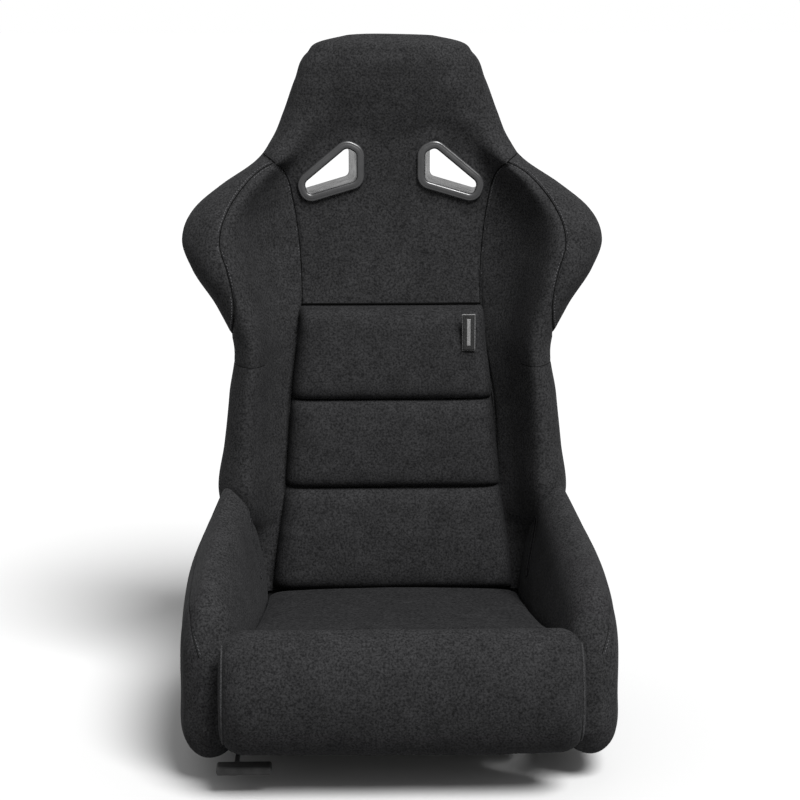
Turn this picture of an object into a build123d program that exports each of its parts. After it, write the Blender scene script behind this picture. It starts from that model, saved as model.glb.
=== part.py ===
"""Fixed-back racing seat with a tubular steel frame, moulded foam, sewn fabric covers and bottom slides.

Millimetres, +Z up.  The sitter faces -Y, and "left" and "right" are the sitter's: left is +X.
The origin is on the floor, midway between the slides and midway between the front roll and the back.
"""
from build123d import *
import math
import os

# ---------------------------------------------------------------- driving dimensions
COVER = 3.0                  # fabric with its scrim foam
FOAM_DEPTH = 5.0             # the moulded foam of the back, below the outside
GAP = 0.3                    # play left round pushed-in and wrapped pieces
HIP_TOP = 300.0              # level where the hip bolsters meet the back bolsters
CUSHION_THICK = 45.0
BASE_FOAM_THICK = 31.5
TAPE = 3.0                   # hook-and-loop tape, both halves together
SEAT_REAR_Y = 100.0          # where the sitting surface meets the back
SEAT_REAR_Z = 158.0
SEAT_SLOPE = 0.143           # rise of the sitting surface towards the front, mm per mm
SEAT_HALF = 172.0            # half the width between the hip bolsters
ROLL_HALF = 223.0            # half the width of the thigh roll
ROLL_REAR_Y = -243.0
LUMBAR_THICK = 33.0
TUBE_R = 12.5                # main frame tube
CROSS_R = 11.0               # cross tubes
BOW_R = 8.0                  # bows inside the bolsters
WALL = 2.0                   # wall of every tube
WIRE_R = 2.0                 # zig-zag springs
RAIL_X = 160.0               # slide centre line, left and right
RAIL_HALF = 23.0
SHEET = 2.5                  # slide sheet thickness
LOWER_RAIL = (-110.0, 245.0)
UPPER_RAIL = (-85.0, 215.0)
LOWER_TALL = 30.0
RAIL_TOP = 38.0
FLOOR_HOLES = (-98.0, 233.0)
FLOOR_HOLE_R = 4.25
PAD_YS = (-2.0, 137.0)
CROSSBAR_YS = (-60.0, 170.0)
CROSSBAR_THICK = 5.0
BOLT_X = 174.0
BOLT_R = 3.0
BASE_X = 150.0               # base tubes
BASE_Z = RAIL_TOP + CROSSBAR_THICK + TUBE_R
LATCH_PITCH = 15.0
TEETH_YS = (65.0, 80.0, 95.0)
FRONT_TUBE = (150.0, -205.0, 105.0)     # half length, y and z of each cross tube
REAR_TUBE = (150.0, 150.0, 55.5)
LUMBAR_TUBE = (150.0, 202.0, 235.0)
HARNESS_TUBE = (157.0, 251.5, 655.0)
PIVOT_Y, PIVOT_Z = -20.0, 29.0
FLANGE = 12.0                # thickness of a harness bezel's flange
FRONT_FLANGE_Y = 206.0
REAR_FLANGE_Y = 291.0
SLEEVE_JOINT_Y = 252.0       # where the front and rear bezels of a slot meet
ARC_POINTS = 25              # points on a level section's front, and on its rear
SEAM_GAP = 0.0006            # share of the girth left open beside the side seam
SPRING_XS = (-100.0, -50.0, 0.0, 50.0, 100.0)
STRAP_ZS = (360.0, 440.0, 520.0)
SLOT_SPLAY = 0.114           # sideways run of the harness slots, mm per mm to the rear

# Level sections through the back, from the hips up, for the left half.  Each row gives z, then the y
# of the front panel, (x, y) of the bolster's forward ridge, of its outermost point and of its rear
# corner, and the y of the rear panel.
BACK_SECTIONS = [
    (300, 150, (203, 62), (239, 112), (222, 212), 240),
    (360, 161, (203, 68), (232, 120), (213, 225), 252),
    (430, 175, (200, 75), (224, 126), (203, 238), 265),
    (500, 190, (196, 82), (217, 130), (190, 250), 278),
    (550, 199, (208, 84), (239, 130), (193, 255), 286),
    (600, 206, (222, 87), (272, 134), (200, 260), 293),
    (640, 211, (229, 94), (286, 144), (203, 266), 298),
    (680, 215, (220, 110), (268, 160), (194, 272), 302),
    (710, 217, (196, 138), (231, 184), (174, 279), 305),
    (740, 218, (162, 170), (187, 216), (148, 285), 307),
    (770, 216, (140, 196), (164, 236), (130, 289), 309),
    (805, 211, (124, 200), (149, 243), (116, 292), 311),
    (850, 206, (106, 200), (132, 246), (98, 293), 312),
    (885, 211, (88, 213), (115, 251), (82, 289), 308),
    (902, 225, (70, 229), (93, 256), (66, 281), 296),
    (909, 241, (44, 244), (61, 259), (43, 273), 278),
]
# Upright sections across a hip bolster, from the front to the rear: y, inner x, outer x, bottom z, top z.
HIP_SECTIONS = [
    (-240, 206, 250, 64, 172),
    (-228, 197, 264, 44, 207),
    (-205, 191, 272, 33, 236),
    (-160, 186, 276, 30, 254),
    (-100, 182, 277, 30, 266),
    (-30, 179, 275, 30, 281),
    (30, 177, 270, 30, 296),
    (75, 176, 262, 30, 322),
    (125, 176, 252, 32, 330),
    (175, 177, 243, 36, 330),
    (207, 180, 233, 48, 326),
    (228, 188, 218, 80, 318),
]
# Front outline of the back's middle panel, (half width, height).  It runs out past the shoulders
# along the neck seam, so that the head belongs to the middle panel.
PANEL_OUTLINE = [(146, 299), (140, 418), (126, 500), (124, 545), (129, 645), (137, 701),
                 (146, 721), (164, 745), (215, 790), (330, 860)]
WING_OUTLINE = [(330, 800), (172, 733), (204, 706), (230, 660), (233, 634), (220, 598), (214, 558),
                (206, 520), (330, 470)]
LUMBAR_OUTLINE = [(165, 168), (150, 297), (140, 418), (128, 538)]
SLOT_OUTLINE = [(36, 757), (62, 770), (132, 712), (120, 679), (36, 704)]
ROLL_PROFILE = [(-243, 62), (-262, 60), (-290, 64), (-308, 84), (-315, 118), (-313, 158), (-300, 190),
                (-278, 207), (-243, 208)]
LEVER_PROFILE = [(-256, 33), (-60, 24), (-10, 19), (50, 9), (106, 9), (106, 15), (60, 16), (0, 37),
                 (-40, 36), (-256, 38.5)]


# ---------------------------------------------------------------- helpers
def between(rows, t):
    """The value at t on a line through (t, value) rows."""
    for (t0, v0), (t1, v1) in zip(rows, rows[1:]):
        if t <= t1:
            return v0 + (v1 - v0) * (t - t0) / (t1 - t0)
    return rows[-1][1]


def seat_z(y):
    """Height of the sitting surface."""
    return SEAT_REAR_Z + (SEAT_REAR_Y - y) * SEAT_SLOPE


def back_y(z):
    """y of the front face of the back's middle panel."""
    return between([(60, 108), (160, 122)] + [(row[0], row[1]) for row in BACK_SECTIONS], z)


def slab(profile, x0, x1):
    """A (y, z) outline extruded along X."""
    wire = Wire.make_polygon([(x0, y, z) for y, z in profile], close=True)
    return extrude(Face(wire), amount=x1 - x0, dir=(1, 0, 0))


def front_prism(outline, y0, y1):
    """An (x, z) outline extruded along Y."""
    wire = Wire.make_polygon([(x, y0, z) for x, z in outline], close=True)
    return extrude(Face(wire), amount=y1 - y0, dir=(0, 1, 0))


def block(x0, x1, y0, y1, z0, z1):
    return Pos((x0 + x1) / 2, (y0 + y1) / 2, (z0 + z1) / 2) * Box(x1 - x0, y1 - y0, z1 - z0)


def round_bar(start, end, radius, bore=0.0):
    direction = Vector(*end) - Vector(*start)
    ring = Circle(radius) - Circle(bore) if bore else Circle(radius)
    return extrude(Plane(origin=start, z_dir=direction) * ring, amount=direction.length)


def bent_bar(points, bends, radius, bore=0.0):
    """A bar or tube of straight runs joined by arcs."""
    path = FilletPolyline(*points, radius=bends)
    direction = Vector(*points[1]) - Vector(*points[0])
    ring = Circle(radius) - Circle(bore) if bore else Circle(radius)
    return sweep(Plane(origin=points[0], z_dir=direction) * ring, path=path)


def mirror_x(shape):
    return mirror(shape, about=Plane.YZ)


def both_sides(shapes):
    return list(shapes) + [mirror_x(s) for s in shapes]


# ---------------------------------------------------------------- padded back
def back_edge(row):
    """The outside of one level section through the back, as a closed smooth curve."""
    z, front, ridge, outer, corner, rear = row
    seam = min(0.62 * ridge[0], 140.0)
    half = [
        (0.55 * seam, front),
        (seam, front - 0.03 * (front - ridge[1])),
        (0.5 * (seam + ridge[0]) + 4, 0.5 * (front + ridge[1]) + 10),
        ridge,
        (ridge[0] + 0.62 * (outer[0] - ridge[0]), ridge[1] + 0.28 * (outer[1] - ridge[1])),
        outer,
        (outer[0] + 0.12 * (corner[0] - outer[0]), outer[1] + 0.42 * (corner[1] - outer[1])),
        corner,
        (0.55 * corner[0], 0.35 * corner[1] + 0.65 * rear),
    ]
    loop = [(0.0, front)] + half + [(0.0, rear)] + [(-x, y) for x, y in reversed(half)]
    return Edge.make_spline([Vector(x, y, z) for x, y in loop], periodic=True)


def side_position(edge):
    """Position along a level section of its outermost point on the left."""
    return max((k / 400 for k in range(200)), key=lambda u: (edge @ u).X)


def back_arc(row, depth, front, gap=0.0):
    """The front or the rear of a level section as a curve, depth below the outside."""
    edge = back_edge(row)
    side = side_position(edge)
    start, end = (1 - side, 1 + side) if front else (side + gap, 1 - side - gap)
    points = []
    for k in range(ARC_POINTS):
        u = (start + (end - start) * k / (ARC_POINTS - 1)) % 1.0
        p, t = edge @ u, edge % u
        points.append(Vector(p.X - t.Y * depth, p.Y + t.X * depth, p.Z))
    return points


def back_shell(front):
    """The cover round the front or the rear of the back, before it is divided into panels."""
    rings = []
    for row in BACK_SECTIONS[:-1]:
        outside = Edge.make_spline(back_arc(row, 0.0, front, SEAM_GAP))
        inside = Edge.make_spline(back_arc(row, COVER, front, SEAM_GAP)[::-1])
        ends = [Edge.make_line(outside @ 1, inside @ 0), Edge.make_line(inside @ 1, outside @ 0)]
        rings.append(Wire([outside, ends[0], inside, ends[1]]))
    return Solid.make_loft(rings)


def back_core(depth):
    """The whole of the padded back, depth below its outside."""
    rings = []
    for row in BACK_SECTIONS[:-1]:
        front = Edge.make_spline(back_arc(row, depth, True))
        rear = Edge.make_spline(back_arc(row, depth, False))
        rings.append(Wire([front, rear]))
    return Solid.make_loft(rings)


def head_cap():
    """The top of the head cover."""
    return Solid.make_loft([Wire([back_edge(row)]) for row in BACK_SECTIONS[-2:]])


def panel_prism():
    left = [(x, z) for x, z in PANEL_OUTLINE]
    right = [(-x, z) for x, z in reversed(PANEL_OUTLINE)]
    return front_prism(left + [(330, 960), (-330, 960)] + right, -400, 500)


def lower_back(depth):
    """The part of the back between the hip bolsters, depth below its outside."""
    low, high = 120.0 + depth, HIP_TOP - GAP - depth
    front = [(back_y(z) + depth, z) for z in (low, 200.0, high)]
    rear = [(228.0 + (high - 120.0) * 0.065 - depth, high), (228.0 - depth, low)]
    return slab(front + rear, -SEAT_HALF + GAP + depth, SEAT_HALF - GAP - depth)


# ---------------------------------------------------------------- hip bolsters
def hip_loop(row, depth):
    """One upright section through the left hip bolster, depth below the outside."""
    y, inner, outer, bottom, top = row
    inner, outer, bottom, top = inner + depth, outer - depth, bottom + depth, top - depth
    wide, tall = outer - inner, top - bottom
    loop = [
        (inner + 0.41 * wide, bottom + 0.06 * tall),
        (inner + 0.68 * wide, bottom),
        (outer - 0.08 * wide, bottom + 0.12 * tall),
        (outer, bottom + 0.34 * tall),
        (outer - 0.01 * wide, bottom + 0.62 * tall),
        (outer - 0.10 * wide, bottom + 0.87 * tall),
        (inner + 0.66 * wide, top),
        (inner + 0.34 * wide, top - 0.04 * tall),
        (inner + 0.08 * wide, bottom + 0.80 * tall),
        (inner, bottom + 0.52 * tall),
        (inner + 0.03 * wide, bottom + 0.26 * tall),
    ]
    return Wire([Edge.make_spline([Vector(x, y, z) for x, z in loop], periodic=True)])


def hip_block(depth, top_depth):
    rows = [list(row) for row in HIP_SECTIONS]
    rows[0][0] += depth
    rows[-1][0] -= depth
    body = Solid.make_loft([hip_loop(row, depth) for row in rows])
    return body & block(0, 400, -400, 400, 0, HIP_TOP - top_depth)


def belt_tunnel(margin):
    """The lap-belt slot through the left hip bolster, margin outside its lining."""
    shape = SlotOverall(84 + 2 * margin, 18 + 2 * margin)
    plane = Plane(origin=(100, 68, 226), x_dir=(0, 0.14, 1), z_dir=(1, 0, 0))
    return extrude(plane * shape, amount=300)


def belt_lining():
    """The fabric tube that lines the left lap-belt slot."""
    sleeve = belt_tunnel(0.0) - belt_tunnel(-2.0)
    return sleeve & block(178, 263, 0, 150, 150, 299)


# ---------------------------------------------------------------- harness slots
def slot_tunnel(margin, y0, y1):
    """The left harness slot, splayed outwards to the rear, margin outside its flange outline."""
    wire = Wire.make_polygon([(x, 0, z) for x, z in SLOT_OUTLINE], close=True)
    rounded = wire.fillet_2d(12.0, wire.vertices())
    if margin:
        rounded = rounded.offset_2d(margin)
    face = Pos(SLOT_SPLAY * (y0 - 205.0), y0, 0) * Face(rounded)
    length = (y1 - y0) * math.hypot(1.0, SLOT_SPLAY)
    return extrude(face, amount=length, dir=(SLOT_SPLAY, 1, 0))


def harness_bezel(flange_y, sleeve_y0, sleeve_y1):
    """A moulded ring with a sleeve, pushed into the left harness slot."""
    flange = slot_tunnel(0.0, flange_y, flange_y + FLANGE)
    sleeve = slot_tunnel(-7.5, sleeve_y0, sleeve_y1)
    return (flange + sleeve) - slot_tunnel(-10.0, flange_y - 80.0, flange_y + 80.0)


# ---------------------------------------------------------------- frame
def hoop_points():
    side = [(BASE_X, -222, 124), (BASE_X, -160, BASE_Z), (BASE_X, 196, BASE_Z), (BASE_X, 204, 300),
            (170, 226, 430), (158, 250, 640), (156, 254, 712), (96, 263, 800), (60, 267, 868)]
    return side + [(-x, y, z) for x, y, z in reversed(side)]


def main_hoop(radius, bore):
    side = [40.0, 40.0, 120.0, 150.0, 150.0, 60.0, 60.0, 36.0]
    return bent_bar(hoop_points(), side + side[::-1], radius, bore)


def shoulder_bow(radius, bore):
    points = [(172, 240, 525), (238, 168, 585), (240, 166, 650), (158, 246, 706)]
    return bent_bar(points, [28.0, 28.0], radius, bore)


def hip_bow(radius, bore):
    points = [(BASE_X, -120, BASE_Z + 6), (226, -120, 84), (234, -112, 152), (224, 118, 158),
              (BASE_X, 200, 190)]
    return bent_bar(points, [24.0, 24.0, 40.0], radius, bore)


def cross_tube(spot, radius, bore=0.0):
    half, y, z = spot
    return round_bar((-half, y, z), (half, y, z), radius, bore)


def coped(bar, hoop):
    """A bar with its ends shaped to the hoop."""
    return (bar - hoop).solids().sort_by(SortBy.VOLUME)[-1]


def zigzag_spring(x):
    """A zig-zag spring from the front cross tube to the rear one."""
    start, end = FRONT_TUBE, REAR_TUBE
    lift = CROSS_R + WIRE_R + 0.6
    y0, z0, y1, z1 = start[1], start[2] + lift, end[1], end[2] + lift
    points = [(x, y0 - 3.0, z0)]
    for k in range(8):
        y = y0 + 32.0 + k * 40.0
        points.append((x + (21.0 if k % 2 else -21.0), y, z0 + (y - y0) * (z1 - z0) / (y1 - y0)))
    points.append((x, y1 + 3.0, z1))
    return bent_bar(points, [9.0] * (len(points) - 2), WIRE_R)


# ---------------------------------------------------------------- slides
def lower_rail():
    """The left floor rail."""
    y0, y1 = LOWER_RAIL
    body = block(RAIL_X - RAIL_HALF, RAIL_X + RAIL_HALF, y0, y1, 0, LOWER_TALL)
    inside = RAIL_HALF - SHEET
    body -= block(RAIL_X - inside, RAIL_X + inside, y0 - 1, y1 + 1, SHEET, LOWER_TALL - SHEET)
    body -= block(RAIL_X - 15, RAIL_X + 15, y0 - 1, y1 + 1, SHEET, LOWER_TALL + 1)
    for y in FLOOR_HOLES:
        body -= Pos(RAIL_X, y, 0) * Cylinder(FLOOR_HOLE_R, 20)
    return body


def upper_rail():
    """The left seat rail: a folded hat section with feet inside the floor rail."""
    y0, y1 = UPPER_RAIL
    body = block(RAIL_X - 20, RAIL_X + 20, y0, y1, RAIL_TOP - SHEET, RAIL_TOP)
    for side in (-1, 1):
        x0, x1 = sorted((RAIL_X + side * 6.0, RAIL_X + side * 8.5))
        body += block(x0, x1, y0, y1, 8, RAIL_TOP)
        x0, x1 = sorted((RAIL_X + side * 6.0, RAIL_X + side * 18.5))
        body += block(x0, x1, y0, y1, 8, 8 + SHEET)
    for y in CROSSBAR_YS:
        body -= Pos(BOLT_X, y, RAIL_TOP) * Cylinder(BOLT_R + 0.2, 20)
    return body


def glide_pads():
    """Nylon blocks on the feet of the left seat rail."""
    pads = []
    for y in PAD_YS:
        for side in (-1, 1):
            x0, x1 = sorted((RAIL_X + side * 10.0, RAIL_X + side * 20.2))
            pads.append(block(x0, x1, y - 12, y + 12, SHEET + GAP, 8.0))
            pads.append(block(x0, x1, y - 12, y + 12, 8.0 + SHEET, LOWER_TALL - SHEET - GAP))
    return pads


def rail_stops():
    """Bent tabs that stop the pads at both ends of the left floor rail."""
    tabs = []
    for y0, y1 in ((LOWER_RAIL[0], LOWER_RAIL[0] + 3.0), (LOWER_RAIL[1] - 3.0, LOWER_RAIL[1])):
        for side in (-1, 1):
            x0, x1 = sorted((RAIL_X + side * 12.0, RAIL_X + side * (RAIL_HALF - SHEET)))
            tabs.append(block(x0, x1, y0, y1, 12.0, LOWER_TALL - SHEET))
    return tabs


def latch_rack():
    """Window strip welded to the outside of the right floor rail."""
    outer = -RAIL_X - RAIL_HALF
    strip = block(outer - 16, outer, LOWER_RAIL[0], LOWER_RAIL[1], 17, 20)
    for k in range(-11, 12):
        y = TEETH_YS[0] + k * LATCH_PITCH
        if LOWER_RAIL[0] + 8 < y < LOWER_RAIL[1] - 8:
            strip -= block(-196, -186, y - 4.5, y + 4.5, 10, 30)
    return strip


def release_lever():
    arm = slab(LEVER_PROFILE, -206, -201)
    return arm - round_bar((-220, PIVOT_Y, PIVOT_Z), (-190, PIVOT_Y, PIVOT_Z), 4.0 + GAP)


def latch_pawl():
    pawl = block(-201, -187, 56, 104, 9.5, 14)
    for y in TEETH_YS:
        pawl += block(-194, -188, y - 3, y + 3, 14, 21)
    return pawl


def lever_bracket():
    bracket = block(-199.5, -180, -35, -5, RAIL_TOP - SHEET, RAIL_TOP)
    bracket += block(-199.5, -197, -35, -5, 22.5, RAIL_TOP)
    return bracket - round_bar((-210, PIVOT_Y, PIVOT_Z), (-190, PIVOT_Y, PIVOT_Z), 4.0)


def lever_grip():
    grip = block(-226, -161, -262, -244, 31, 40.5)
    grip = fillet(grip.edges(), 4.0)
    return grip - slab(LEVER_PROFILE, -206, -201)


def lever_pin():
    pin = round_bar((-213, PIVOT_Y, PIVOT_Z), (-196, PIVOT_Y, PIVOT_Z), 4.0)
    return pin + round_bar((-215, PIVOT_Y, PIVOT_Z), (-213, PIVOT_Y, PIVOT_Z), 7.0)


def return_spring():
    helix = Edge.make_helix(pitch=1.9, height=4.6, radius=5.7)
    coil = sweep(Plane(origin=helix @ 0, z_dir=helix % 0) * Circle(0.7), path=Wire([helix]))
    return Pos(-212.0, PIVOT_Y, PIVOT_Z) * Rot(0, 90, 0) * coil


# ---------------------------------------------------------------- cushions
def lumbar_cushion():
    levels = [z for _, z in LUMBAR_OUTLINE]
    front = [(back_y(z) - TAPE - LUMBAR_THICK, z) for z in levels]
    rear = [(back_y(z) - TAPE - 3.0, z) for z in levels]
    cushion = slab(front + rear[::-1], -200, 200) - back_core(-1.2)
    left = LUMBAR_OUTLINE
    return cushion & front_prism(left + [(-x, z) for x, z in reversed(left)], 0, 400)


def seat_cushion():
    rear = SEAT_REAR_Y - 2.0
    front = ROLL_REAR_Y - 6.0
    pad = [(front, seat_z(front) - CUSHION_THICK), (rear, seat_z(rear) - CUSHION_THICK),
           (rear, seat_z(rear)), (front, seat_z(front))]
    half = SEAT_HALF + 1.0
    return slab(pad, -half, half) + slab(ROLL_PROFILE, -ROLL_HALF, ROLL_HALF)


def base_foam():
    y0, y1 = -238.0, SEAT_REAR_Y
    top = CUSHION_THICK + TAPE
    bottom = top + BASE_FOAM_THICK
    outline = [(y0, seat_z(y0) - bottom), (y1, seat_z(y1) - bottom), (y1, seat_z(y1) - top),
               (y0, seat_z(y0) - top)]
    return slab(outline, -SEAT_HALF, SEAT_HALF)


def side_tag():
    """A folded woven tag standing out of the lumbar cushion's upper seam."""
    face = back_y(482) - TAPE - LUMBAR_THICK - 3.0
    return block(93, 113, face - 1.2, face, 482, 536)


def tape_strips():
    """Hook-and-loop strips behind the lumbar cushion and under the seat cushion."""
    strips = []
    for x in (-60.0, 60.0):
        low, high = 330.0, 500.0
        levels = (low, 418.0, high)
        front = [(back_y(z) - TAPE - 2.7, z) for z in levels]
        rear = [(back_y(z) - 3.6, z) for z in levels]
        strips.append(slab(front + rear[::-1], x - 25, x + 25))
        y0, y1, top = -180.0, 40.0, CUSHION_THICK + 0.2
        profile = [(y0, seat_z(y0) - top - 2.6), (y1, seat_z(y1) - top - 2.6), (y1, seat_z(y1) - top),
                   (y0, seat_z(y0) - top)]
        strips.append(slab(profile, x - 25, x + 25))
    return strips


def back_strap(z, grow=0.0):
    """A webbing strap across the hoop behind the lumbar foam."""
    line = [(300, 204), (430, 226), (640, 250)]
    half = between([(300, 150), (430, 170), (640, 158)], z) - 3.0
    levels = (z - 20 - grow, z + 20 + grow)
    front = [(between(line, h) - TUBE_R - 1.6 - grow, h) for h in levels]
    rear = [(between(line, h) - TUBE_R + 0.4 + grow, h) for h in levels]
    return slab(front + rear[::-1], -half - grow, half + grow)


def spring_clip(x, spot):
    """A pressed clip that holds a spring end down on a cross tube."""
    y, z = spot[1], spot[2]
    return block(x - 6, x + 6, y - 5, y + 5, z, z + CROSS_R + 2 * WIRE_R + 1.4)


def save(name, *solids):
    shape = solids[0] if len(solids) == 1 else Compound(children=list(solids))
    export_step(shape, f"parts/{name}.step")


def side_of(shapes, sign):
    """The pieces on one side of the seat: +1 is the sitter's left."""
    picked = [s for s in shapes.solids() if s.center().X * sign > 20]
    return picked[0] if len(picked) == 1 else Compound(children=picked)


def build_frame(hoop_space):
    save("main_hoop", main_hoop(TUBE_R, TUBE_R - WALL))
    tubes = {"front_cross_tube": FRONT_TUBE, "rear_cross_tube": REAR_TUBE,
             "lumbar_cross_tube": LUMBAR_TUBE, "harness_cross_tube": HARNESS_TUBE}
    for name, spot in tubes.items():
        save(name, coped(cross_tube(spot, CROSS_R, CROSS_R - WALL), hoop_space))
    for name, bow in (("shoulder_bow", shoulder_bow), ("hip_bow", hip_bow)):
        piece = coped(bow(BOW_R, BOW_R - WALL), hoop_space)
        save(f"{name}_left", piece)
        save(f"{name}_right", mirror_x(piece))

    for name, y in (("crossbar_front", CROSSBAR_YS[0]), ("crossbar_rear", CROSSBAR_YS[1])):
        bar = block(-185, 185, y - 20, y + 20, RAIL_TOP, RAIL_TOP + CROSSBAR_THICK)
        for x in (-BOLT_X, BOLT_X):
            bar -= Pos(x, y, RAIL_TOP) * Cylinder(BOLT_R + 0.2, 20)
        save(name, bar)

    springs = [zigzag_spring(x) for x in SPRING_XS]
    save("zigzag_springs", *springs)
    clips = []
    for spring, x in zip(springs, SPRING_XS):
        for spot in (FRONT_TUBE, REAR_TUBE):
            clips.append(spring_clip(x, spot) - cross_tube(spot, CROSS_R) - spring)
    save("spring_clips", *clips)
    save("back_straps", *[back_strap(z) - hoop_space for z in STRAP_ZS])


def build_back(hoop_space):
    panel = panel_prism()
    wings = both_sides([front_prism(WING_OUTLINE, -400, 500)])
    mouths = both_sides([slot_tunnel(GAP, FRONT_FLANGE_Y - 40, FRONT_FLANGE_Y + FLANGE + GAP),
                         slot_tunnel(GAP, REAR_FLANGE_Y - GAP, REAR_FLANGE_Y + 60),
                         slot_tunnel(GAP - 7.5, 150, 350)])
    front, rear = back_shell(True), back_shell(False)

    save("back_panel_cover", (front & panel) + head_cap() - mouths)
    sides = front - panel
    bolsters = sides - wings
    gussets = sides & Compound(children=wings)
    for name, sign in (("left", 1), ("right", -1)):
        save(f"bolster_cover_{name}", side_of(bolsters, sign))
        save(f"shoulder_gusset_{name}", side_of(gussets, sign))
    save("rear_cover", rear - mouths)

    bows = both_sides([shoulder_bow(BOW_R + GAP, 0), hip_bow(BOW_R + GAP, 0)])
    core = back_core(FOAM_DEPTH) - hoop_space - cross_tube(HARNESS_TUBE, CROSS_R + GAP)
    for cutter in bows + [back_strap(z, GAP) for z in STRAP_ZS] + mouths:
        core -= cutter
    save("back_foam", core & panel)
    bolster_foam = core - panel
    save("bolster_foam_left", side_of(bolster_foam, 1))
    save("bolster_foam_right", side_of(bolster_foam, -1))

    spaces = [hoop_space] + bows
    save("lower_back_foam", lower_back(COVER + GAP) - spaces - cross_tube(LUMBAR_TUBE, CROSS_R + GAP))
    save("lower_back_cover", lower_back(0.0) - lower_back(COVER) - spaces)

    front_bezel = harness_bezel(FRONT_FLANGE_Y, FRONT_FLANGE_Y + 4, SLEEVE_JOINT_Y)
    rear_bezel = harness_bezel(REAR_FLANGE_Y, SLEEVE_JOINT_Y + GAP, REAR_FLANGE_Y + 4)
    save("harness_bezel_front_left", front_bezel)
    save("harness_bezel_front_right", mirror_x(front_bezel))
    save("harness_bezel_rear_left", rear_bezel)
    save("harness_bezel_rear_right", mirror_x(rear_bezel))


def build_hips():
    bow = hip_bow(BOW_R + GAP, 0)
    cover = hip_block(0.0, 0.2) - hip_block(COVER, 0.2 + COVER) - belt_tunnel(0.0) - bow
    foam = hip_block(COVER + GAP, 0.2 + COVER + GAP) - belt_tunnel(GAP) - bow
    for name, piece in (("hip_cover", cover), ("hip_foam", foam), ("belt_slot_lining", belt_lining())):
        save(f"{name}_left", piece)
        save(f"{name}_right", mirror_x(piece))


def build_slides():
    save("lower_rail_left", lower_rail())
    save("lower_rail_right", mirror_x(lower_rail()))
    save("upper_rail_left", upper_rail())
    save("upper_rail_right", mirror_x(upper_rail()))
    save("glide_pads", *both_sides(glide_pads()))
    save("rail_end_stops", *both_sides(rail_stops()))
    save("latch_rack", latch_rack())
    bolts, nuts = [], []
    for x in (-BOLT_X, BOLT_X):
        for y in CROSSBAR_YS:
            top = RAIL_TOP + CROSSBAR_THICK
            bolts.append(round_bar((x, y, 31.5), (x, y, top), BOLT_R)
                         + round_bar((x, y, top), (x, y, top + 3.4), 5.0))
            nuts.append(round_bar((x, y, 31.5), (x, y, RAIL_TOP - SHEET), 5.0, BOLT_R))
    save("rail_bolts", *bolts)
    save("rail_nuts", *nuts)
    save("lever_bracket", lever_bracket())
    save("lever_pin", lever_pin())
    save("release_lever", release_lever())
    save("latch_pawl", latch_pawl())
    save("lever_grip", lever_grip())
    save("lever_return_spring", return_spring())


def build():
    os.makedirs("parts", exist_ok=True)
    hoop_space = main_hoop(TUBE_R + GAP, 0)
    build_frame(main_hoop(TUBE_R, 0))
    build_back(hoop_space)
    build_hips()
    build_slides()
    save("base_foam", base_foam() - hoop_space)
    save("seat_cushion", seat_cushion())
    save("lumbar_cushion", lumbar_cushion())
    save("hook_and_loop_strips", *tape_strips())
    save("side_tag", side_tag())


build()
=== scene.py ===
import math
import bpy
import numpy as np
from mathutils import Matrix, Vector, noise as smooth_noise
from mathutils.bvhtree import BVHTree


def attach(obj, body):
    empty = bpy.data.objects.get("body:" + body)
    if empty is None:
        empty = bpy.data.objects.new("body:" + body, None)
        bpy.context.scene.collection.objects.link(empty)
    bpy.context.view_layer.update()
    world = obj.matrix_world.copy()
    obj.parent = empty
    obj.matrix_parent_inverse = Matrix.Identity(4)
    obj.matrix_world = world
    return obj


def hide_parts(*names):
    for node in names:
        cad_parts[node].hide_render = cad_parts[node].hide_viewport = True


# Lengths here are millimetres until a mesh is made; +X is the sitter's left and the seat faces -Y.
MM = 0.001
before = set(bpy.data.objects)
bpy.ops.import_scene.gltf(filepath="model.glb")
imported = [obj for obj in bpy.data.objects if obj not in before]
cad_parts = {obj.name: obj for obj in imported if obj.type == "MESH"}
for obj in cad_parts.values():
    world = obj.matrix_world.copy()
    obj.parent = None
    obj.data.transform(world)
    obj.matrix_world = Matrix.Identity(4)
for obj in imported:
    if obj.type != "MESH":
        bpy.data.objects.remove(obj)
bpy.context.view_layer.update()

SEAT = "seat"                   # the body that carries everything above the rails
SEAT_REAR_Y, SEAT_REAR_Z, SEAT_SLOPE = 100.0, 158.0, 0.143
ROLL_HALF = 223.0               # half the width of the front roll
WAIST_Z, WAIST_X, WAIST_SLOPE = 474.0, 200.0, 0.05
BEZEL_FRONT, BEZEL_REAR = 212.0, 299.0
BELT_Y, BELT_Z, BELT_TALL, BELT_WIDE = 68.0, 226.0, 84.0, 18.0
BELT_UP = (0.139, 0.990)        # the direction of the lap-belt slot, in (y, z)
LEVER_PIN_Y, LIFTED_SLOPE = -20.0, 0.0625

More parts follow.
